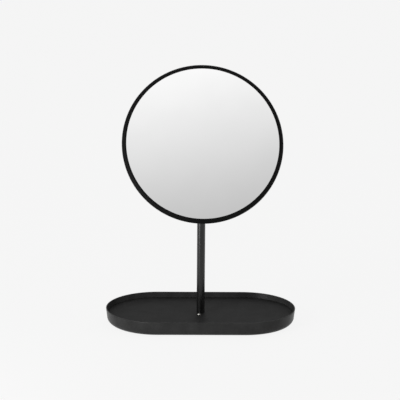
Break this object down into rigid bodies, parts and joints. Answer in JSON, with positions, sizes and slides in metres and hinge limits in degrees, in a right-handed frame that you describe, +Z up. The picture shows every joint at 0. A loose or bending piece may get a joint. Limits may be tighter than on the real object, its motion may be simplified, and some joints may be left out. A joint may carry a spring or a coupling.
{
  "type": "table mirror with tray base",
  "caption": "Round table mirror in a slim rim that tilts and turns on a slim post, which stands in an oblong raised-rim tray for small things.",
  "frame": {"origin": "centre of the tray's footprint, on the table", "axes": "+Z up along the post, +X along the tray's long side, the mirror faces -Y"},
  "size_m": [0.2798, 0.1518, 0.3804],
  "materials": {
    "coated_steel": "fine matt powder coat",
    "silvered_glass": "polished",
    "polished_steel": "polished",
    "bare_steel": "zinc plated",
    "black_steel": "black oxide",
    "black_nylon": "moulded",
    "pad_rubber": "matt foam rubber",
    "foam": "closed-cell foam"
  },
  "bodies": {
    "base": {"tray_pan": "coated_steel", "tray_floor": "coated_steel", "ballast_plate": "bare_steel", "base_pad": "pad_rubber", "floor_rivet": "polished_steel", "post_tube": "coated_steel", "foot_plug": "bare_steel", "foot_screw": "bare_steel", "post_bush": "black_nylon"},
    "swivel": {"swivel_knuckle": "coated_steel", "retaining_clip": "bare_steel", "spring_washer": "bare_steel"},
    "head": {"head_rim": "coated_steel", "mirror_glass": "silvered_glass", "glass_tape": "foam", "backing_foam": "foam", "back_panel": "coated_steel", "panel_screws": "black_steel", "tilt_bracket": "coated_steel", "bracket_rivets": "black_steel", "tilt_bolt": "black_steel", "tilt_nut": "black_steel", "friction_washers": "black_nylon"}
  },
  "joints": [
    {"name": "head_swivel", "type": "hinge", "parent": "base", "child": "swivel", "pos_m": [0, 0, 0.2535], "axis": [0, 0, 1], "continuous": true},
    {"name": "head_tilt", "type": "hinge", "parent": "swivel", "child": "head", "pos_m": [0, 0, 0.264], "axis": [-0.999, -0.0436, 0], "range_deg": [-29, 36]}
  ]
}
